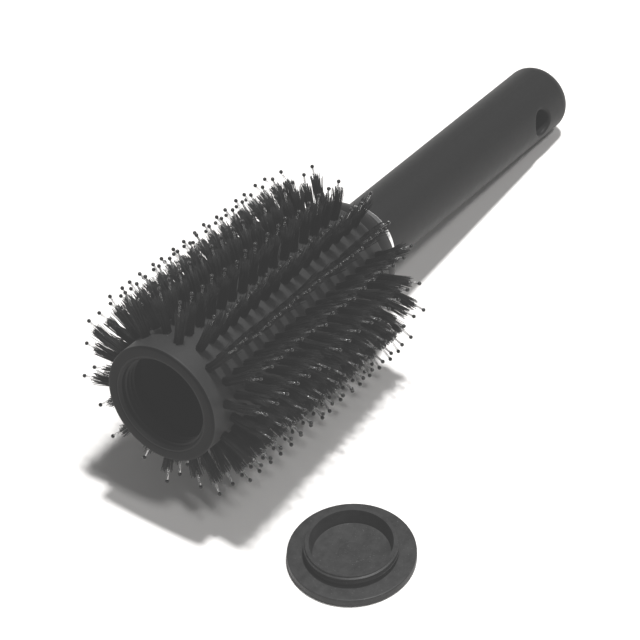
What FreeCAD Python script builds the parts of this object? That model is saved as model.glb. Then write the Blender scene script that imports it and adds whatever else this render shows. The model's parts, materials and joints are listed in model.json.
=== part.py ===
import FreeCAD, Part
import math
import os

from FreeCAD import Placement, Rotation, Vector

# Round hair brush with a hollow barrel and a screw-off end cap. Millimetres.
#
# The brush lies on a flat floor (z = 0) on its lowest pins and on the end of its handle, so its axis
# dips towards the handle. The cap lies beside it, boss upwards.
# Row frame: +X runs along the floor from the barrel's mouth to the handle's end, +Z is up, and the
# origin is the centre of the underside of the whole part's bounding box.
# Brush frame: x runs along the brush's own axis from the mouth (x = 0), z is the "up" side.

# ---- driving dimensions: barrel ----
BARREL_R = 21.5
BARREL_BORE_R = 17.8
BARREL_LENGTH = 104.0
BARREL_EDGE = 0.8

# ---- driving dimensions: bristle field ----
ROWS = 20
ROW_PHASE_DEG = 2.6
TUFTS_PER_ROW = 16
FIRST_TUFT_X = 7.6
TUFT_PITCH = 6.0
ROW_STAGGER = 3.0
TUFT_BASE_R = 1.9
TUFT_TIP_R = 2.5
TUFT_REACH = 34.7
PIN_R = 0.35
PIN_HOLE_R = 0.42
PIN_REACH = 38.5
BALL_R = 0.58
FLOOR_CLEARANCE = 0.02

# ---- driving dimensions: thread between cap and mouth ----
THREAD_PITCH = 2.0
THREAD_TURNS = 3
RIDGE_HEIGHT = 0.65
RIDGE_HALF_WIDTH = 0.4
RIDGE_ROOT = 0.25

# ---- driving dimensions: mouth insert ----
INSERT_FRONT_X = 0.15
INSERT_LENGTH = 11.4
INSERT_R = 16.5
INSERT_MOUTH_R = 17.3
INSERT_BEVEL = 1.0

# ---- driving dimensions: rear end, collar and handle ----
PLUG_LENGTH = 7.0
PRESS_CLEARANCE = 0.03
SHOULDER_LENGTH = 11.5
SHOULDER_NECK_R = 13.4
COLLAR_R = 13.9
COLLAR_LENGTH = 4.0
SPIGOT_R = 9.0
SPIGOT_LENGTH = 24.0
HANDLE_R = 12.7
HANDLE_END_X = 242.3
HANDLE_FRONT_EDGE = 0.8
HANDLE_END_EDGE = 5.5
HANDLE_DOME = 1.2
HANDLE_BORE_END_X = 205.0
HOLE_R = 4.7
HOLE_RIM = 0.9
HOLE_X = 221.0
HOLE_ANGLE_DEG = 80.0

# ---- driving dimensions: end cap ----
FLANGE_R = 21.7
FLANGE_THICKNESS = 3.25
FLANGE_EDGE = 0.5
SCREWED_ON_GAP = 0.05
BOSS_HEIGHT = 4.85
BOSS_R = 15.4
BOSS_RIDGE_START = 1.1
BOSS_RIDGE_TURN_DEG = 57.0
RECESS_TOP_R = 14.1
RECESS_FLOOR_R = 13.2
RECESS_BELOW_FLANGE = 0.6
CAP_BACK = 15.5
CAP_ASIDE = 63.0

# ---- how the part lies ----
DIP_DEG = 9.7
SWING_ROW = 4
SWING_TUFT = 6

FULL_TURN = 360.0
THREAD_TRAVEL = THREAD_PITCH * THREAD_TURNS
DIP = math.radians(DIP_DEG)
UP = Vector(0, 0, 1)
ALONG = Vector(math.cos(DIP), 0, -math.sin(DIP))
ABOVE = Vector(math.sin(DIP), 0, math.cos(DIP))
RIGHT = Vector(0, -1, 0)

HANDLE_EDGE_X = HANDLE_END_X - HANDLE_DOME - HANDLE_END_EDGE
HANDLE_FLAT_R = HANDLE_R - HANDLE_END_EDGE
MOUTH_HEIGHT = HANDLE_EDGE_X * math.sin(DIP) + HANDLE_FLAT_R * math.cos(DIP) + HANDLE_END_EDGE
HANDLE_DOME_R = (HANDLE_FLAT_R**2 + HANDLE_DOME**2) / (2 * HANDLE_DOME)
HANDLE_DOME_X = HANDLE_END_X - HANDLE_DOME_R
FRONT_OF_MOUTH = FLANGE_R - CAP_BACK
BEHIND_MOUTH = HANDLE_DOME_X * math.cos(DIP) + HANDLE_DOME_R
RIGHT_OF_AXIS = CAP_ASIDE + FLANGE_R
MOUTH = Vector(
    (FRONT_OF_MOUTH - BEHIND_MOUTH) / 2,
    (RIGHT_OF_AXIS - PIN_REACH) / 2,
    MOUTH_HEIGHT,
)
BRUSH = Placement(MOUTH, Rotation(Vector(0, 1, 0), DIP_DEG))
CAP = Placement(MOUTH + Vector(CAP_BACK, -CAP_ASIDE, FLANGE_THICKNESS - MOUTH_HEIGHT), Rotation())


def turned(profile):
    """A solid of revolution about x, from (x, radius) points."""
    points = [Vector(x, 0, r) for x, r in profile]
    face = Part.Face(Part.makePolygon(points + points[:1]))
    return face.revolve(Vector(), Vector(1, 0, 0), FULL_TURN)


def turned_upright(profile):
    """A solid of revolution about z, from (radius, height) points."""
    points = [Vector(r, 0, z) for r, z in profile]
    face = Part.Face(Part.makePolygon(points + points[:1]))
    return face.revolve(Vector(), UP, FULL_TURN)


def save(node, shape, placement):
    """Write one node's solids, moved from the frame they were drawn in to the row frame."""
    placed = shape.copy()
    placed.Placement = placement.multiply(placed.Placement)
    placed.exportStep(os.path.join("parts", node + ".step"))


def thread_ridge(axis_turn, root_r, crest_r, start, height):
    """A right-hand helical ridge about z, from start up, whose crest faces in or out."""
    helix = Part.makeHelix(THREAD_PITCH, height, root_r)
    root_in = root_r - math.copysign(RIDGE_ROOT, crest_r - root_r)
    corners = [
        Vector(root_in, 0, -RIDGE_HALF_WIDTH),
        Vector(root_in, 0, RIDGE_HALF_WIDTH),
        Vector(crest_r, 0, 0),
    ]
    profile = Part.makePolygon(corners + corners[:1])
    ridge = Part.Wire(helix.Edges).makePipeShell([profile], True, True)
    ridge.Placement = Placement(Vector(0, 0, start), Rotation(UP, axis_turn))
    return ridge


def swing_geometry():
    """Axis, centre and angle of the swing that takes the cap from the floor to the mouth."""
    rest = CAP.Base
    presented = MOUTH - ALONG * (THREAD_TRAVEL + SCREWED_ON_GAP)
    travel = presented - rest
    side = Vector(0, 1, 0)
    bisector = (UP + ALONG).normalize()
    axis = side * -travel.dot(bisector) + bisector * travel.dot(side)
    axis.normalize()
    from_up = UP - axis * UP.dot(axis)
    to_along = ALONG - axis * ALONG.dot(axis)
    angle = math.atan2(from_up.cross(to_along).dot(axis), from_up.dot(to_along))
    if angle < 0:
        axis = axis * -1
        angle = -angle
    middle = (rest + presented) * 0.5
    centre = middle + axis.cross(travel) * (0.5 / math.tan(angle / 2))
    return axis, centre, math.degrees(angle)


def swing_ball_centre(axis, centre):
    """The point (brush frame) where the swing's axis leaves the cylinder of the ball centres."""
    to_brush = BRUSH.inverse()
    point = to_brush.multVec(centre)
    line = to_brush.Rotation.multVec(axis)
    flat_point = Vector(0, point.y, point.z)
    flat_line = Vector(0, line.y, line.z)
    a = flat_line.dot(flat_line)
    b = flat_point.dot(flat_line)
    c = flat_point.dot(flat_point) - (PIN_REACH - BALL_R) ** 2
    root = math.sqrt(b * b - a * c)
    crossings = [point + line * ((-b + sign * root) / a) for sign in (-1, 1)]
    return max(crossings, key=lambda p: p.x)


def row_direction(row):
    """Unit vector (brush frame) out of the barrel along a row's bristles, clockwise from the top."""
    angle = math.radians(ROW_PHASE_DEG + FULL_TURN * row / ROWS)
    return Vector(0, -math.sin(angle), math.cos(angle))


def tuft_x(row, tuft):
    """How far along the brush a tuft stands; every other row is set back by half a pitch."""
    return FIRST_TUFT_X + ROW_STAGGER * (row % 2) + TUFT_PITCH * tuft


def ball_centre(row, tuft):
    """Centre of a pin's ball tip; a pin that carries the brush is pressed in to floor level."""
    out = row_direction(row)
    reach = PIN_REACH - BALL_R
    x = tuft_x(row, tuft)
    height = MOUTH_HEIGHT - x * math.sin(DIP)
    drop = -out.z * math.cos(DIP)
    if drop > 0:
        reach = min(reach, (height - BALL_R - FLOOR_CLEARANCE) / drop)
    return Vector(x, 0, 0) + out * reach


def barrel_shell():
    """Plain tube that holds the bristles, with eased ends."""
    return turned(
        [
            (0, BARREL_BORE_R),
            (0, BARREL_R - BARREL_EDGE),
            (BARREL_EDGE, BARREL_R),
            (BARREL_LENGTH - BARREL_EDGE, BARREL_R),
            (BARREL_LENGTH, BARREL_R - BARREL_EDGE),
            (BARREL_LENGTH, BARREL_BORE_R),
        ]
    )


def mouth_insert(cap_turn):
    """Threaded ring pressed into the barrel's mouth. Its ridge runs half a pitch from the cap's."""
    ring = turned_upright(
        [
            (BARREL_BORE_R, INSERT_FRONT_X),
            (INSERT_MOUTH_R, INSERT_FRONT_X),
            (INSERT_R, INSERT_FRONT_X + INSERT_BEVEL),
            (INSERT_R, INSERT_FRONT_X + INSERT_LENGTH),
            (BARREL_BORE_R, INSERT_FRONT_X + INSERT_LENGTH),
        ]
    )
    start = INSERT_FRONT_X + INSERT_BEVEL + RIDGE_HALF_WIDTH
    cap_start = BOSS_RIDGE_START - SCREWED_ON_GAP
    phase = FULL_TURN * (start - cap_start) / THREAD_PITCH
    ridge = thread_ridge(
        cap_turn + BOSS_RIDGE_TURN_DEG + phase + FULL_TURN / 2,
        INSERT_R,
        INSERT_R - RIDGE_HEIGHT,
        start,
        THREAD_TRAVEL,
    )
    threaded = ring.fuse(ridge)
    threaded.Placement = Placement(Vector(), Rotation(Vector(0, 1, 0), 90))
    return threaded


def barrel_shoulder():
    """Plug, shoulder and spigot in one: closes the barrel's rear and carries the handle."""
    shoulder_end = BARREL_LENGTH + SHOULDER_LENGTH
    spigot_end = shoulder_end + SPIGOT_LENGTH
    plug_r = BARREL_BORE_R - PRESS_CLEARANCE
    steps = 6
    bulge = []
    for i in range(steps + 1):
        turn = math.pi / 2 * i / steps
        x = BARREL_LENGTH + SHOULDER_LENGTH * math.sin(turn)
        r = SHOULDER_NECK_R + (BARREL_R - BARREL_EDGE - SHOULDER_NECK_R) * math.cos(turn)
        bulge.append((x, r))
    return turned(
        [(BARREL_LENGTH - PLUG_LENGTH, 0), (BARREL_LENGTH - PLUG_LENGTH, plug_r), (BARREL_LENGTH, plug_r)]
        + bulge
        + [(shoulder_end, SPIGOT_R), (spigot_end, SPIGOT_R), (spigot_end, 0)]
    )


def collar_ring():
    """Bright ring between the shoulder and the handle, round the spigot."""
    front = BARREL_LENGTH + SHOULDER_LENGTH
    ring = Part.makeCylinder(COLLAR_R, COLLAR_LENGTH, Vector(front, 0, 0), Vector(1, 0, 0))
    rims = [e for e in ring.Edges if isinstance(e.Curve, Part.Circle)]
    ring = ring.makeFillet(COLLAR_LENGTH / 3, rims)
    bore_r = SPIGOT_R + PRESS_CLEARANCE
    bore = Part.makeCylinder(bore_r, COLLAR_LENGTH, Vector(front, 0, 0), Vector(1, 0, 0))
    return ring.cut(bore)


def runs_round_hole(edge, across):
    """True for an edge that lies all along the hanging hole's wall."""
    first, last = edge.ParameterRange
    for i in range(5):
        from_hole = edge.valueAt(first + (last - first) * i / 4) - Vector(HOLE_X, 0, 0)
        if abs((from_hole - across * from_hole.dot(across)).Length - HOLE_R) > 0.01:
            return False
    return True


def handle():
    """Straight round handle with a rounded end, a blind bore for the spigot and a hanging hole."""
    front = BARREL_LENGTH + SHOULDER_LENGTH + COLLAR_LENGTH
    half = HANDLE_END_EDGE * math.sqrt(0.5)
    rim_x = HANDLE_EDGE_X + HANDLE_END_EDGE
    dome_middle = HANDLE_DOME_X + math.sqrt(HANDLE_DOME_R**2 - HANDLE_FLAT_R**2 / 4)
    end = Part.Arc(
        Vector(HANDLE_EDGE_X, 0, HANDLE_R),
        Vector(HANDLE_EDGE_X + half, 0, HANDLE_FLAT_R + half),
        Vector(rim_x, 0, HANDLE_FLAT_R),
    )
    dome = Part.Arc(
        Vector(rim_x, 0, HANDLE_FLAT_R),
        Vector(dome_middle, 0, HANDLE_FLAT_R / 2),
        Vector(HANDLE_END_X, 0, 0),
    )
    outline = [
        Vector(HANDLE_END_X, 0, 0),
        Vector(HANDLE_BORE_END_X, 0, 0),
        Vector(HANDLE_BORE_END_X, 0, SPIGOT_R),
        Vector(front, 0, SPIGOT_R),
        Vector(front, 0, HANDLE_R - HANDLE_FRONT_EDGE),
        Vector(front + HANDLE_FRONT_EDGE, 0, HANDLE_R),
        Vector(HANDLE_EDGE_X, 0, HANDLE_R),
    ]
    edges = [Part.makeLine(p, q) for p, q in zip(outline, outline[1:])]
    wire = Part.Wire(edges + [end.toShape(), dome.toShape()])
    body = Part.Face(wire).revolve(Vector(), Vector(1, 0, 0), FULL_TURN)
    turn = math.radians(HOLE_ANGLE_DEG)
    across = Vector(0, -math.sin(turn), math.cos(turn))
    start = Vector(HOLE_X, 0, 0) - across * (2 * HANDLE_R)
    holed = body.cut(Part.makeCylinder(HOLE_R, 4 * HANDLE_R, start, across))
    rims = [e for e in holed.Edges if runs_round_hole(e, across)]
    return holed.makeFillet(HOLE_RIM, rims)


def tuft(row, index):
    """One bristle bundle as a flaring stub, with a way through its middle for the pin."""
    stub = turned_upright(
        [
            (PIN_HOLE_R, BARREL_R),
            (TUFT_BASE_R, BARREL_R),
            (TUFT_TIP_R, TUFT_REACH),
            (PIN_HOLE_R, TUFT_REACH),
        ]
    )
    stub.Placement = Placement(Vector(tuft_x(row, index), 0, 0), Rotation(UP, row_direction(row)))
    return stub


def pin(foot, ball):
    """One pin up to the middle of its ball tip."""
    return Part.makeCylinder(PIN_R, foot.distanceToPoint(ball), foot, ball - foot)


def ball_tipped_pin(row, index):
    """One pin with its ball tip."""
    foot = Vector(tuft_x(row, index), 0, 0) + row_direction(row) * BARREL_R
    centre = ball_centre(row, index)
    return pin(foot, centre).fuse(Part.makeSphere(BALL_R, centre))


def leaning_pin(ball):
    """The pin that leans until its tip lies on the cap's swing axis, just short of its ball."""
    out = row_direction(SWING_ROW)
    foot = Vector(tuft_x(SWING_ROW, SWING_TUFT), 0, 0) + out * (TUFT_REACH + PIN_R)
    gap = (ball - foot).normalize() * (BALL_R + FLOOR_CLEARANCE)
    return pin(foot, ball - gap)


def end_cap_flange():
    """Flat disc of the cap; the recess reaches a little into it. Drawn with its inner face at z = 0."""
    return turned_upright(
        [
            (0, -FLANGE_THICKNESS),
            (FLANGE_R - FLANGE_EDGE, -FLANGE_THICKNESS),
            (FLANGE_R, FLANGE_EDGE - FLANGE_THICKNESS),
            (FLANGE_R, -FLANGE_EDGE),
            (FLANGE_R - FLANGE_EDGE, 0),
            (RECESS_FLOOR_R, 0),
            (RECESS_FLOOR_R, -RECESS_BELOW_FLANGE),
            (0, -RECESS_BELOW_FLANGE),
        ]
    )


def end_cap_boss():
    """Threaded boss of the cap: a thin wall round the recess, standing on the flange."""
    wall = turned_upright(
        [
            (RECESS_FLOOR_R, 0),
            (BOSS_R, 0),
            (BOSS_R, BOSS_HEIGHT),
            (RECESS_TOP_R, BOSS_HEIGHT),
        ]
    )
    ridge = thread_ridge(
        BOSS_RIDGE_TURN_DEG,
        BOSS_R,
        BOSS_R + RIDGE_HEIGHT,
        BOSS_RIDGE_START,
        BOSS_HEIGHT - BOSS_RIDGE_START - RIDGE_HALF_WIDTH,
    )
    return wall.fuse(ridge)


def main():
    os.makedirs("parts", exist_ok=True)
    axis, centre, angle = swing_geometry()
    ball = swing_ball_centre(axis, centre)
    cap_side = BRUSH.Rotation.inverted().multVec(Rotation(axis, angle).multVec(Vector(1, 0, 0)))
    insert_turn = math.degrees(math.atan2(cap_side.y, -cap_side.z))

    save("barrel_shell", barrel_shell(), BRUSH)
    save("mouth_insert", mouth_insert(insert_turn), BRUSH)
    save("barrel_shoulder", barrel_shoulder(), BRUSH)
    save("collar_ring", collar_ring(), BRUSH)
    save("handle", handle(), BRUSH)
    for row in range(ROWS):
        tufts = [tuft(row, i) for i in range(TUFTS_PER_ROW)]
        pins = [
            leaning_pin(ball) if (row, i) == (SWING_ROW, SWING_TUFT) else ball_tipped_pin(row, i)
            for i in range(TUFTS_PER_ROW)
        ]
        save(f"tuft_row_{row + 1:02d}", Part.makeCompound(tufts), BRUSH)
        save(f"pin_row_{row + 1:02d}", Part.makeCompound(pins), BRUSH)
    save("pin_ball_on_swing_axis", Part.makeSphere(BALL_R, ball), BRUSH)
    save("end_cap_flange", end_cap_flange(), CAP)
    save("end_cap_boss", end_cap_boss(), CAP)

    hole = BRUSH.multVec(Vector(HOLE_X, 0, 0))
    turn = math.radians(HOLE_ANGLE_DEG)
    print("mouth", MOUTH, "along", ALONG)
    print("swing axis", axis, "through", BRUSH.multVec(ball), "angle", angle)
    print("cap centre", CAP.Base)
    print("hole centre", hole, "axis", ABOVE * math.cos(turn) + RIGHT * math.sin(turn))


main()
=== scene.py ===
import json
import math
import random

import bpy
from mathutils import Matrix, Vector


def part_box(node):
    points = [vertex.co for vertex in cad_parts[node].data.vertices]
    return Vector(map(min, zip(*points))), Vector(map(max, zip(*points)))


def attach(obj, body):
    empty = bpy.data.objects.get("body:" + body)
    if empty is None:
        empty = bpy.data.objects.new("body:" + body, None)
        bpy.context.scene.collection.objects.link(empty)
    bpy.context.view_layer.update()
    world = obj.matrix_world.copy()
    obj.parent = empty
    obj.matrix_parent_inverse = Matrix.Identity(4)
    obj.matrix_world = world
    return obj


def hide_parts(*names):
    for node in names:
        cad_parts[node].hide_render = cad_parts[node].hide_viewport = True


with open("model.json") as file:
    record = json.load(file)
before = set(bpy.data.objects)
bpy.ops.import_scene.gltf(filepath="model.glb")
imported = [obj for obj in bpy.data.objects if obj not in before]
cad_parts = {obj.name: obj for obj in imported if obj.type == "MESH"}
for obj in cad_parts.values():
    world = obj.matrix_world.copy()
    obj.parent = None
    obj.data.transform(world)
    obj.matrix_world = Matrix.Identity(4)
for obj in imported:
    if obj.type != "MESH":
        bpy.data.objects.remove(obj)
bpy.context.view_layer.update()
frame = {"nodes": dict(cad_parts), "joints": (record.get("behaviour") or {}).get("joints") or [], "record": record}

# Round hair brush with a hollow barrel and a screw-off end cap, in metres, in the CAD's row frame.
# "Brush frame" below: x runs along the brush's own axis from the mouth (x = 0) towards the handle.

MM = 0.001
RECORD = frame["record"]
GRIP = next(m for m in RECORD["mounts"] if m["name"] == "handle_grip")
CAP_TURN = next(j for j in frame["joints"] if j["name"] == "cap_turn")

# ---- how the brush lies, from the record. GRIP_X is the grip mount's place on the brush's axis ----
GRIP_X = 177.95 * MM
ALONG = Vector(GRIP["axis"]).normalized()
SIDE = Vector((0, 1, 0))
ABOVE = ALONG.cross(SIDE)
MOUTH = Vector(GRIP["pos_m"]) - ALONG * GRIP_X
CAP_CENTRE = Vector(CAP_TURN["pos_m"])

# ---- sizes in millimetres, the same as in the CAD ----
BARREL_R = 21.5
BARREL_BORE_R = 17.8
BARREL_LENGTH = 104.0
BARREL_EDGE = 0.8
ROWS = 20
ROW_PHASE_DEG = 2.6
TUFTS_PER_ROW = 16
FIRST_TUFT_X = 7.6
TUFT_PITCH = 6.0
ROW_STAGGER = 3.0
SWING_ROW = 4
SWING_TUFT = 6
SHOULDER_LENGTH = 11.5
SHOULDER_NECK_R = 13.4
PLUG_LENGTH = 7.0
PRESS_CLEARANCE = 0.03
SPIGOT_R = 9.0
SPIGOT_LENGTH = 24.0
COLLAR_R = 13.9
COLLAR_LENGTH = 4.0
FLANGE_R = 21.7
FLANGE_THICKNESS = 3.25
RECESS_R = 13.2
RECESS_DEPTH = 0.6

# ---- edges and the faint ring in the cap's recess, drawn finer than in the CAD, in millimetres ----
BORE_EDGE = 0.3
MOUTH_EDGE = 1.1
# faces closer than this to the mouth, the end face and its rounded outer edge, get painted shade: a darker, duller
# copy of the barrel plastic
MOUTH_SHADE_DEPTH = 0.9
PLUG_EDGE = 0.3
SPIGOT_EDGE = 0.4
COLLAR_EDGE = 1.1
FLANGE_BACK_EDGE = 0.7
FLANGE_FRONT_EDGE = 0.6
RECESS_EDGE = 0.2
RING_MARK_R = 4.7
RING_MARK_HALF_WIDTH = 0.2
RING_MARK_DEPTH = 0.04
RING_MARK_EDGE = 0.1

# ---- how finely round shapes are divided ----
FINE_SIDES = 160
SHOULDER_SIDES = 128
SHOULDER_STEPS = 16
FILLET_STEPS = 5
SHARP_FROM_DEG = 32
POLE_R = 1e-6

# ---- bristles, in millimetres. A pair is the spread along the brush and the spread round it ----
ROOT_DEPTH = 0.4
TUFT_REACH = 35.2
TUFT_UNEVEN = 0.6
TUFT_WEAR = 1.2  # how much shorter a tuft is that points straight down
TUFT_FLARE_LEAST = 1.25
TUFT_FLARE_MOST = 1.55
TUFT_LEAN = (0.25, 0.35)
TUFT_BEND = (0.2, 0.25)
BUNDLE_R = 1.5
BRISTLES = 66
BRISTLE_R = 0.16
BRISTLE_TIP = 0.5
BRISTLE_SIDES = 4
BRISTLE_KNOTS = (0.0, 0.35, 0.7, 1.0)
BRISTLE_FRAY = 0.14
BRISTLE_SHORTFALL = 1.1
BRISTLE_STRAY = (0.2, 0.25)
WILD_SHARE = 0.06
WILD_GAIN = 3.0
SPIN_STEP = 2.39996  # the golden angle in radians, which fills a disc evenly
SPIN_UNEVEN = 0.3

# ---- pins, in millimetres, and pairs as above ----
PIN_REACH = 38.8
PIN_R = 0.36
PIN_SIDES = 8
PIN_KNOTS = (0, 0.25, 0.5, 0.75, 1)
PIN_UNEVEN = 0.3
PIN_LEAN = (0.4, 0.5)
PIN_BOW = (0.2, 0.2)
LEANING_PIN_KNOTS = (0, 0.3, 0.6, 0.96)
LEANING_PIN_START = 0.02
BALL_R = 0.7
BALL_RINGS = 7
BALL_SIDES = 12
FLOOR_GAP = 0.06
SHAFT_FACE = 0
BALL_FACE = 1
SEED = 20

# ---- floor, light and camera, in metres unless named otherwise ----
HAZE = 0.04
FLOOR_HALF = 6.0
FLOOR_TONE = 0.82
FLOOR_VARIATION = 0.005
FLOOR_WARMTH = 0.02
LOW_GLOW = 0.62
HIGH_GLOW = 0.15
GLOW_BAND = 0.3
CAMERA_PLACE = (-0.71367, -0.4896, 0.8561)
CAMERA_AIM = (0.5725, 0.4271, -0.6999)
CAMERA_ROLL_DEG = -3.43
CAMERA_LENS_MM = 193.2
CAMERA_SENSOR_MM = 36


def brush_point(x, y, z):
    """Brush-frame millimetres to row-frame metres."""
    return MOUTH + (ALONG * x + SIDE * y + ABOVE * z) * MM


# ---------------------------------------------------------------- materials. Texture scales are per metre

GRAIN_DEPTH = 0.04 * MM
# material slot for the painted shade on the mouth's end face and rounded edge
MOUTH_SHADE_SLOT = 1


def new_material(name, base, roughness, specular=0.5, metallic=0.0):
    mat = bpy.data.materials.new(name)
    mat.use_nodes = True
    shader = mat.node_tree.nodes["Principled BSDF"]
    shader.inputs["Base Color"].default_value = (*base, 1)
    shader.inputs["Roughness"].default_value = roughness
    shader.inputs["Specular IOR Level"].default_value = specular
    shader.inputs["Metallic"].default_value = metallic
    return mat, mat.node_tree, shader


def noise(tree, scale, detail=4.0, roughness=0.5):
    coords = tree.nodes.new("ShaderNodeTexCoord")
    node = tree.nodes.new("ShaderNodeTexNoise")
    node.inputs["Scale"].default_value = scale
    node.inputs["Detail"].default_value = detail
    node.inputs["Roughness"].default_value = roughness
    tree.links.new(coords.outputs["Object"], node.inputs["Vector"])
    return node.outputs["Fac"]


def ramp(tree, fac, stops):
    node = tree.nodes.new("ShaderNodeValToRGB")
    elements = node.color_ramp.elements
    while len(elements) < len(stops):
        elements.new(0.5)
    for element, (at, colour) in zip(elements, stops):
        element.position = at
        element.color = (*colour, 1)
    tree.links.new(fac, node.inputs["Fac"])
    return node.outputs["Color"]


def grey(value, warmth=0.0):
    return (value * (1 + warmth), value, value * (1 - warmth))


def vary_colour(tree, shader, scale, low, high):
    colour = ramp(tree, noise(tree, scale), [(0.3, low), (0.7, high)])
    tree.links.new(colour, shader.inputs["Base Color"])


def vary_roughness(tree, shader, scale, low, high):
    span = tree.nodes.new("ShaderNodeMapRange")
    span.inputs["From Min"].default_value = 0.3
    span.inputs["From Max"].default_value = 0.7
    span.inputs["To Min"].default_value = low
    span.inputs["To Max"].default_value = high
    tree.links.new(noise(tree, scale), span.inputs["Value"])
    tree.links.new(span.outputs["Result"], shader.inputs["Roughness"])


def add_bump(tree, shader, scale, strength, distance):
    bump = tree.nodes.new("ShaderNodeBump")
    bump.inputs["Strength"].default_value = strength
    bump.inputs["Distance"].default_value = distance
    tree.links.new(noise(tree, scale, 6.0), bump.inputs["Height"])
    tree.links.new(bump.outputs["Normal"], shader.inputs["Normal"])


def plastic(name, tone, roughness, specular, grain_scale=1500, grain=0.2):
    """Moulded black plastic: slight tone and gloss variation and a fine grain."""
    mat, tree, shader = new_material(name, grey(tone), roughness, specular)
    vary_colour(tree, shader, 700, grey(tone * 0.92), grey(tone * 1.08))
    vary_roughness(tree, shader, 300, roughness * 0.95, roughness * 1.05)
    add_bump(tree, shader, grain_scale, grain, GRAIN_DEPTH)
    return mat


def dusty_plastic(name, tone, roughness, specular):
    """Black plastic, smeared and dulled by handling, with fine pale specks of dust on it."""
    mat, tree, shader = new_material(name, grey(tone), roughness, specular)
    plain = ramp(tree, noise(tree, 260, 8.0, 0.68), [(0.34, grey(tone * 0.62)), (0.66, grey(tone * 1.32))])
    specks = ramp(tree, noise(tree, 2100, 2.0), [(0.68, grey(0.0)), (0.78, grey(tone * 4))])
    add = tree.nodes.new("ShaderNodeMix")
    add.data_type = "RGBA"
    add.blend_type = "ADD"
    add.inputs["Factor"].default_value = 1.0
    tree.links.new(plain, add.inputs["A"])
    tree.links.new(specks, add.inputs["B"])
    tree.links.new(add.outputs["Result"], shader.inputs["Base Color"])
    vary_roughness(tree, shader, 300, roughness * 0.9, roughness * 1.1)
    add_bump(tree, shader, scale=1800, strength=0.4, distance=GRAIN_DEPTH)
    return mat


def chrome():
    """A polished metal ring, slightly uneven, so that it glints in patches."""
    mat, tree, shader = new_material("bright_ring", grey(0.85), 0.2, metallic=1.0)
    vary_colour(tree, shader, 300, grey(0.8), grey(0.9))
    vary_roughness(tree, shader, 500, 0.12, 0.22)
    add_bump(tree, shader, scale=170, strength=0.6, distance=0.0006)
    return mat


def clear_nylon():
    """Clear nylon: light goes through it, bent by the round pin and in part straight."""
    mat, tree, shader = new_material("pin_nylon", grey(0.9), 0.12)
    shader.inputs["Transmission Weight"].default_value = 0.94
    shader.inputs["Alpha"].default_value = 0.64
    shader.inputs["IOR"].default_value = 1.5
    vary_colour(tree, shader, 600, grey(0.86), grey(0.96))
    return mat


BARREL_PLASTIC = plastic("barrel_plastic", tone=0.021, roughness=0.5, specular=0.24)
# painted shade: a darker, duller copy of the barrel plastic for the mouth's end face and rounded edge, which takes
# away the light and the edge highlight they would catch
MOUTH_SHADE_PLASTIC = plastic("mouth_painted_shade", tone=0.004, roughness=0.5, specular=0.07)
# black plastic inside the mouth, painted darker than the barrel's: painted shade for the dark inside of the bore
INSERT_SHADE_PLASTIC = plastic("insert_painted_shade", tone=0.006, roughness=0.42, specular=0.12)
SHOULDER_PLASTIC = plastic("shoulder_plastic", tone=0.005, roughness=0.5, specular=0.1, grain_scale=1200)
GRIP_COATING = plastic("grip_coating", tone=0.012, roughness=0.5, specular=0.13, grain_scale=4200, grain=0.3)
CAP_PLASTIC = dusty_plastic("cap_plastic", tone=0.023, roughness=0.45, specular=0.16)
BRISTLE_NYLON = plastic("bristle_nylon", tone=0.008, roughness=0.58, specular=0.18, grain=0.0)
BALL_PLASTIC = plastic("ball_plastic", tone=0.01, roughness=0.2, specular=0.4, grain=0.0)
PIN_NYLON = clear_nylon()
CHROME = chrome()


# ---------------------------------------------------------------- meshes


class Soup:
    """Collects closed solids into one mesh."""

    def __init__(self):
        self.points = []
        self.faces = []
        self.material = []

    def tube(self, path, radii, sides):
        """A closed tube along a polyline."""
        first = len(self.points)
        direction = (path[-1] - path[0]).normalized()
        across = direction.orthogonal().normalized()
        other = direction.cross(across)
        for centre, radius in zip(path, radii):
            for k in range(sides):
                turn = math.tau * k / sides
                self.points.append(centre + (across * math.cos(turn) + other * math.sin(turn)) * radius)
        for ring in range(len(path) - 1):
            a = first + ring * sides
            for k in range(sides):
                n = (k + 1) % sides
                self.faces.append((a + k, a + n, a + sides + n, a + sides + k))
        last = first + (len(path) - 1) * sides
        self.faces.append(tuple(range(first + sides - 1, first - 1, -1)))
        self.faces.append(tuple(range(last, last + sides)))
        self.material += [SHAFT_FACE] * ((len(path) - 1) * sides + 2)

    def ball(self, centre, radius):
        """A closed ball, as rings between two poles."""
        bottom = len(self.points)
        self.points.append(centre + Vector((0, 0, -radius)))
        for i in range(1, BALL_RINGS):
            lat = -math.pi / 2 + math.pi * i / BALL_RINGS
            wide = math.cos(lat)
            for k in range(BALL_SIDES):
                turn = math.tau * k / BALL_SIDES
                out = Vector((wide * math.cos(turn), wide * math.sin(turn), math.sin(lat)))
                self.points.append(centre + out * radius)
        top = len(self.points)
        self.points.append(centre + Vector((0, 0, radius)))
        lowest = bottom + 1
        highest = top - BALL_SIDES
        for k in range(BALL_SIDES):
            n = (k + 1) % BALL_SIDES
            self.faces.append((bottom, lowest + n, lowest + k))
            self.faces.append((highest + k, highest + n, top))
            for a in range(lowest, highest, BALL_SIDES):
                b = a + BALL_SIDES
                self.faces.append((a + k, a + n, b + n, b + k))
        self.material += [BALL_FACE] * (BALL_SIDES * BALL_RINGS)

    def build(self, name, materials, body, node):
        """The collected solids as one smooth piece."""
        mesh = bpy.data.meshes.new(name)
        mesh.from_pydata([tuple(p) for p in self.points], [], self.faces)
        mesh.polygons.foreach_set("material_index", self.material)
        mesh.shade_smooth()
        finish_piece(name, mesh, materials, body, node)


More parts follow.
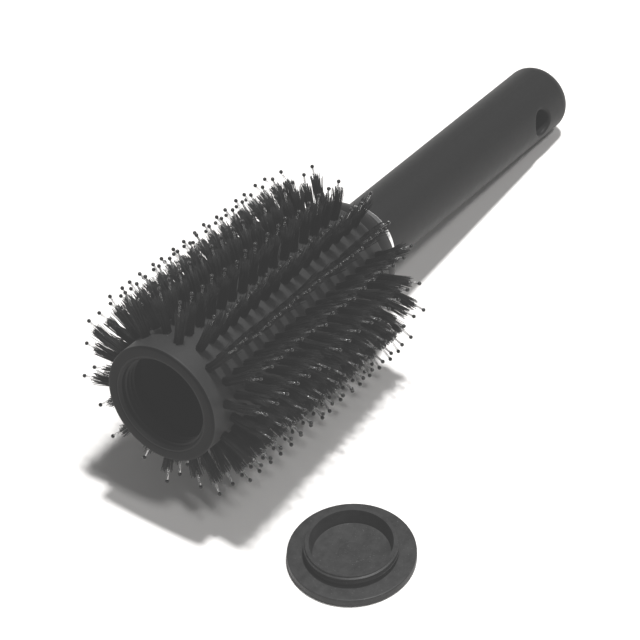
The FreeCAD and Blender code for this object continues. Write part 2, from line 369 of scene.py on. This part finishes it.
def finish_piece(name, mesh, materials, body, node):
    """Links a mesh as a piece that rides on a body and stands in for a CAD node."""
    mesh.update()
    piece = bpy.data.objects.new(name, mesh)
    bpy.context.scene.collection.objects.link(piece)
    for material in materials:
        mesh.materials.append(material)
    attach(piece, body)
    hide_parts(node)
    return piece


def rounded(points):
    """Profile corners (x, r, fillet) to plain (x, r) points, each corner rounded by its fillet."""
    count = len(points)
    out = []
    for i, (x, r, fillet) in enumerate(points):
        here = Vector((x, r))
        if fillet <= 0:
            out.append(here)
            continue
        back = Vector(points[i - 1][:2]) - here
        ahead = Vector(points[(i + 1) % count][:2]) - here
        cut = min(fillet, back.length * 0.49, ahead.length * 0.49)
        start = here + back.normalized() * cut
        end = here + ahead.normalized() * cut
        for k in range(FILLET_STEPS + 1):
            t = k / FILLET_STEPS
            out.append(start.lerp(here, t).lerp(here.lerp(end, t), t))
    return out


def lathe(name, corners, segments, to_row, material, body, node):
    """A closed solid of revolution. corners are (x, r, fillet); r = 0 makes a pole.

    An outline without poles closes on itself, as a ring's does.
    """
    profile = rounded(corners)
    points = []
    rings = []
    for x, r in profile:
        if r < POLE_R:
            rings.append([len(points)])
            points.append(to_row(x, 0, 0))
            continue
        ring = []
        for k in range(segments):
            turn = math.tau * k / segments
            ring.append(len(points))
            points.append(to_row(x, r * math.cos(turn), r * math.sin(turn)))
        rings.append(ring)
    faces = []
    pairs = list(zip(rings, rings[1:]))
    if len(rings[0]) > 1:
        pairs.append((rings[-1], rings[0]))
    for a, b in pairs:
        for k in range(segments):
            n = (k + 1) % segments
            if len(a) == 1:
                faces.append((a[0], b[n], b[k]))
            elif len(b) == 1:
                faces.append((a[k], a[n], b[0]))
            else:
                faces.append((a[k], a[n], b[n], b[k]))
    mesh = bpy.data.meshes.new(name)
    mesh.from_pydata([tuple(p) for p in points], [], faces)
    mesh.shade_smooth()
    piece = finish_piece(name, mesh, [material], body, node)
    mesh.set_sharp_from_angle(angle=math.radians(SHARP_FROM_DEG))
    return piece


def row_angle(row):
    return math.radians(ROW_PHASE_DEG + 360.0 * row / ROWS)


def polar(x, r, angle):
    """Brush-frame point at a distance from the axis, angle clockwise from the top."""
    return brush_point(x, -r * math.sin(angle), r * math.cos(angle))


# ---------------------------------------------------------------- barrel, shoulder, ring


barrel = lathe(
    "barrel",
    [
        (0.0, BARREL_BORE_R, BORE_EDGE),
        (0.0, BARREL_R, MOUTH_EDGE),
        (BARREL_LENGTH, BARREL_R, BARREL_EDGE),
        (BARREL_LENGTH, BARREL_BORE_R, 0),
    ],
    FINE_SIDES, brush_point, BARREL_PLASTIC, "brush", "barrel_shell",
)
# the mouth's end face and rounded outer edge take the darker copy: painted shade over the face and over the
# highlight the edge would catch
barrel.data.materials.append(MOUTH_SHADE_PLASTIC)
for face in barrel.data.polygons:
    if (face.center - MOUTH).dot(ALONG) < MOUTH_SHADE_DEPTH * MM:
        face.material_index = MOUTH_SHADE_SLOT

plug_r = BARREL_BORE_R - PRESS_CLEARANCE
shoulder = [(BARREL_LENGTH - PLUG_LENGTH, 0, 0), (BARREL_LENGTH - PLUG_LENGTH, plug_r, PLUG_EDGE)]
shoulder.append((BARREL_LENGTH, plug_r, 0))
shoulder_drop = BARREL_R - BARREL_EDGE - SHOULDER_NECK_R
for step in range(SHOULDER_STEPS + 1):
    turn = math.pi / 2 * step / SHOULDER_STEPS
    x = BARREL_LENGTH + SHOULDER_LENGTH * math.sin(turn)
    shoulder.append((x, SHOULDER_NECK_R + shoulder_drop * math.cos(turn), 0))
shoulder_end = BARREL_LENGTH + SHOULDER_LENGTH
shoulder += [(shoulder_end, SPIGOT_R, 0), (shoulder_end + SPIGOT_LENGTH, SPIGOT_R, SPIGOT_EDGE)]
shoulder.append((shoulder_end + SPIGOT_LENGTH, 0, 0))
lathe(
    "shoulder", shoulder,
    SHOULDER_SIDES, brush_point, SHOULDER_PLASTIC, "brush", "barrel_shoulder",
)

lathe(
    "bright_ring",
    [
        (shoulder_end, SPIGOT_R + PRESS_CLEARANCE, 0),
        (shoulder_end, COLLAR_R, COLLAR_EDGE),
        (shoulder_end + COLLAR_LENGTH, COLLAR_R, COLLAR_EDGE),
        (shoulder_end + COLLAR_LENGTH, SPIGOT_R + PRESS_CLEARANCE, 0),
    ],
    FINE_SIDES, brush_point, CHROME, "brush", "collar_ring",
)


# ---------------------------------------------------------------- bristles and pins


def keep_above_floor(foot, tip, radius):
    """The tip, drawn in along its own line until it clears the floor."""
    low = radius + FLOOR_GAP * MM
    if tip.z >= low:
        return tip
    return foot + (tip - foot) * ((foot.z - low) / (foot.z - tip.z))


def sag(t):
    """How far a bow is out at t along its length: 0 at both ends and 1 half way."""
    return t * (1 - t) * 4


class Tuft:
    """Where one tuft stands and how it leans, bends and spreads, drawn at random."""

    def __init__(self, rng, x, angle):
        self.out = (polar(0, 1, angle) - polar(0, 0, angle)).normalized()
        self.round_way = self.out.cross(ALONG)
        self.foot = polar(x, BARREL_R - ROOT_DEPTH, angle)
        self.flare = rng.uniform(TUFT_FLARE_LEAST, TUFT_FLARE_MOST)
        self.lean = self.drift(rng, TUFT_LEAN)
        self.bend = self.drift(rng, TUFT_BEND)
        worn = TUFT_WEAR * max(0.0, -self.out.z)
        self.height = (TUFT_REACH - BARREL_R + ROOT_DEPTH - worn - rng.uniform(0.0, TUFT_UNEVEN)) * MM

    def drift(self, rng, spread):
        """A random offset across the tuft, with one spread along the brush and one round it."""
        along_spread, round_spread = spread
        return (ALONG * rng.gauss(0, along_spread) + self.round_way * rng.gauss(0, round_spread)) * MM


def add_bristle(soup, rng, tuft, offset):
    """One bristle, which starts offset from the tuft's middle and thins towards its tip."""
    fray = rng.gauss(1, BRISTLE_FRAY)
    stray = tuft.drift(rng, BRISTLE_STRAY)
    if rng.random() < WILD_SHARE:
        stray *= WILD_GAIN
    length = tuft.height - abs(rng.gauss(0, BRISTLE_SHORTFALL)) * MM
    tip = tuft.foot + tuft.out * length + offset * tuft.flare * fray + tuft.lean + stray
    tip = keep_above_floor(tuft.foot, tip, BRISTLE_R * MM)
    start = tuft.foot + offset
    bow = tuft.bend - (offset + stray) / 8
    path = [start.lerp(tip, t) + bow * sag(t) for t in BRISTLE_KNOTS]
    radii = [BRISTLE_R * MM * (1 - (1 - BRISTLE_TIP) * t) for t in BRISTLE_KNOTS]
    soup.tube(path, radii, BRISTLE_SIDES)


def add_bristles(soup, rng, tuft):
    """A tuft's bristles: tight at the barrel, frayed and uneven at the tips."""
    for k in range(BRISTLES):
        spin = k * SPIN_STEP + rng.uniform(-SPIN_UNEVEN, SPIN_UNEVEN)
        radius = BUNDLE_R * math.sqrt((k + 0.5) / BRISTLES) * MM
        offset = (ALONG * math.cos(spin) + tuft.round_way * math.sin(spin)) * radius
        add_bristle(soup, rng, tuft, offset)


def add_pin(soup, rng, tuft):
    """One pin with its ball tip, in the middle of its tuft."""
    aside = tuft.drift(rng, PIN_LEAN)
    reach = (PIN_REACH - BALL_R - BARREL_R + ROOT_DEPTH - abs(rng.gauss(0, PIN_UNEVEN))) * MM
    tip = keep_above_floor(tuft.foot, tuft.foot + tuft.out * reach + aside, BALL_R * MM)
    bow = tuft.drift(rng, PIN_BOW)
    path = [tuft.foot.lerp(tip, t) + bow * sag(t) for t in PIN_KNOTS]
    soup.tube(path, [PIN_R * MM] * len(path), PIN_SIDES)
    soup.ball(tip, BALL_R * MM)


def add_leaning_pin(soup, foot, ball):
    """The pin that leans over to the ball on the cap's swing axis, a CAD node of its own."""
    start = foot.lerp(ball, LEANING_PIN_START)
    path = [start.lerp(ball, t) for t in LEANING_PIN_KNOTS]
    soup.tube(path, [PIN_R * MM] * len(path), PIN_SIDES)


swing_low, swing_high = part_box("pin_ball_on_swing_axis")
SWING_BALL = (swing_low + swing_high) / 2

rng = random.Random(SEED)
for row in range(ROWS):
    angle = row_angle(row)
    bristles = Soup()
    pins = Soup()
    for index in range(TUFTS_PER_ROW):
        x = FIRST_TUFT_X + ROW_STAGGER * (row % 2) + TUFT_PITCH * index
        tuft = Tuft(rng, x, angle)
        add_bristles(bristles, rng, tuft)
        if (row, index) == (SWING_ROW, SWING_TUFT):
            add_leaning_pin(pins, tuft.foot, SWING_BALL)
        else:
            add_pin(pins, rng, tuft)
    number = f"{row + 1:02d}"
    bristles.build(f"bristles_{number}", [BRISTLE_NYLON], "brush", f"tuft_row_{number}")
    pins.build(f"pins_{number}", [PIN_NYLON, BALL_PLASTIC], "brush", f"pin_row_{number}")


# ---------------------------------------------------------------- cap disc


def cap_point(x, y, z):
    """Cap-frame millimetres (x up from the disc's inner face) to row-frame metres."""
    return CAP_CENTRE + Vector((y, z, x)) * MM


lathe(
    "cap_disc",
    [
        (-FLANGE_THICKNESS, 0, 0),
        (-FLANGE_THICKNESS, FLANGE_R, FLANGE_BACK_EDGE),
        (0.0, FLANGE_R, FLANGE_FRONT_EDGE),
        (0.0, RECESS_R, 0),
        (-RECESS_DEPTH, RECESS_R, RECESS_EDGE),
        (-RECESS_DEPTH, RING_MARK_R + RING_MARK_HALF_WIDTH, RING_MARK_EDGE),
        (-RECESS_DEPTH - RING_MARK_DEPTH, RING_MARK_R, RING_MARK_EDGE),
        (-RECESS_DEPTH, RING_MARK_R - RING_MARK_HALF_WIDTH, RING_MARK_EDGE),
        (-RECESS_DEPTH, 0, 0),
    ],
    FINE_SIDES, cap_point, CAP_PLASTIC, "cap_disc", "end_cap_flange",
)


# ---------------------------------------------------------------- CAD nodes that stay


for node, material in (
    # the mouth insert takes the darker plastic, with painted shade for the dark inside of the bore
    ("mouth_insert", INSERT_SHADE_PLASTIC),
    ("handle", GRIP_COATING),
    ("end_cap_boss", CAP_PLASTIC),
    ("pin_ball_on_swing_axis", BALL_PLASTIC),
):
    kept = frame["nodes"][node]
    kept.data.materials.clear()
    kept.data.materials.append(material)


# ---------------------------------------------------------------- floor, light, camera


def make_floor():
    """A plain pale floor."""
    mesh = bpy.data.meshes.new("floor")
    corners = [(x * FLOOR_HALF, y * FLOOR_HALF, 0) for x, y in ((-1, -1), (1, -1), (1, 1), (-1, 1))]
    mesh.from_pydata(corners, [], [(0, 1, 2, 3)])
    floor = bpy.data.objects.new("floor", mesh)
    bpy.context.scene.collection.objects.link(floor)
    mat, tree, shader = new_material("floor_white", grey(FLOOR_TONE), 0.7, 0.2)
    darker = grey(FLOOR_TONE - FLOOR_VARIATION, FLOOR_WARMTH)
    paler = grey(FLOOR_TONE + FLOOR_VARIATION, FLOOR_WARMTH)
    vary_colour(tree, shader, 3, darker, paler)
    mesh.materials.append(mat)


def make_world():
    """A dim studio with a paler band low down, where the white sweep runs up behind."""
    world = bpy.data.worlds.new("studio")
    world.use_nodes = True
    tree = world.node_tree
    coords = tree.nodes.new("ShaderNodeTexCoord")
    split = tree.nodes.new("ShaderNodeSeparateXYZ")
    tree.links.new(coords.outputs["Generated"], split.inputs["Vector"])
    glow = ramp(tree, split.outputs["Z"], [(0.0, grey(LOW_GLOW)), (GLOW_BAND, grey(HIGH_GLOW))])
    tree.links.new(glow, tree.nodes["Background"].inputs["Color"])
    bpy.context.scene.world = world


def add_sun(name, to_light, strength, spread_deg):
    """A distant light in the direction to_light. A wide spread softens its shadows."""
    lamp = bpy.data.lights.new(name, "SUN")
    lamp.energy = strength
    lamp.angle = math.radians(spread_deg)
    sun = bpy.data.objects.new(name, lamp)
    sun.rotation_mode = "QUATERNION"
    sun.rotation_quaternion = Vector(to_light).to_track_quat("Z", "Y")
    bpy.context.scene.collection.objects.link(sun)


def lift_blacks():
    """The slight haze of a bright studio: the darkest tones show as dark grey."""
    view = bpy.context.scene.view_settings
    view.view_transform = "Standard"
    view.use_curve_mapping = True
    view.curve_mapping.black_level = (-HAZE, -HAZE, -HAZE)
    view.curve_mapping.update()


def make_camera():
    """A long lens that looks down along the brush from its mouth's side."""
    data = bpy.data.cameras.new("camera")
    data.sensor_width = CAMERA_SENSOR_MM
    data.lens = CAMERA_LENS_MM
    data.clip_start = 0.05
    data.clip_end = 20
    camera = bpy.data.objects.new("camera", data)
    camera.location = CAMERA_PLACE
    level = Vector(CAMERA_AIM).to_track_quat("-Z", "Y").to_matrix()
    roll = Matrix.Rotation(math.radians(CAMERA_ROLL_DEG), 3, "Z")
    camera.rotation_mode = "QUATERNION"
    camera.rotation_quaternion = (level @ roll).to_quaternion()
    bpy.context.scene.collection.objects.link(camera)
    bpy.context.scene.camera = camera


make_floor()
make_world()
add_sun("overhead", to_light=(0.14, -0.07, 0.987), strength=4.2, spread_deg=5.5)
add_sun("fill", to_light=(-0.076, -0.466, 0.882), strength=0.8, spread_deg=7.5)
make_camera()
lift_blacks()
